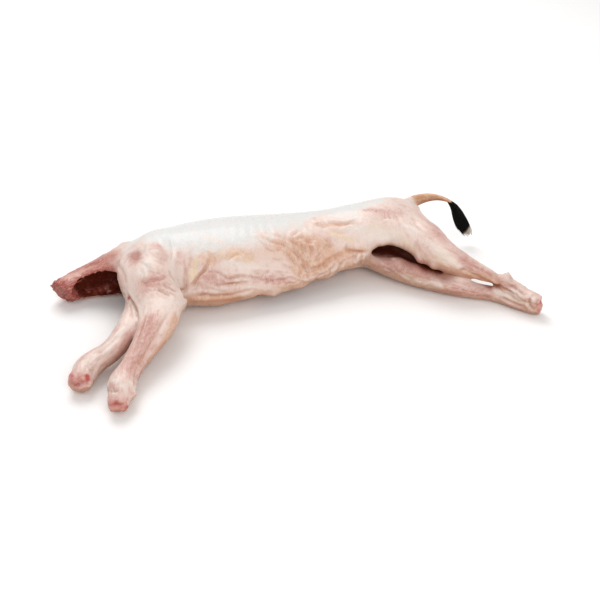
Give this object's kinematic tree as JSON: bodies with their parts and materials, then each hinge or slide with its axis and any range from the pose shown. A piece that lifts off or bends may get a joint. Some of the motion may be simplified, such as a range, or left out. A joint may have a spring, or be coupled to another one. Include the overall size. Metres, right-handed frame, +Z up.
{
  "type": "dressed goat kid carcass",
  "caption": "Whole skinned and dressed young goat carcass without head or feet, lying on its right side with all legs stretched out and a hair tuft on its tail.",
  "frame": {"origin": "centre of the bounding box, on the flat surface that the carcass lies on", "axes": "+X from the neck towards the hind feet, -Y towards the belly and the forefeet, +Y towards the back, +Z up, out of the upper (left) side"},
  "size_m": [0.758, 0.3862, 0.111],
  "materials": {
    "flesh": "moist raw flesh under thin pale fat and membrane, satin",
    "hair": "coarse dark hair with a pale tip, matt"
  },
  "bodies": {
    "root": {"carcass": "flesh", "tail_hair": "hair"}
  },
  "joints": []
}
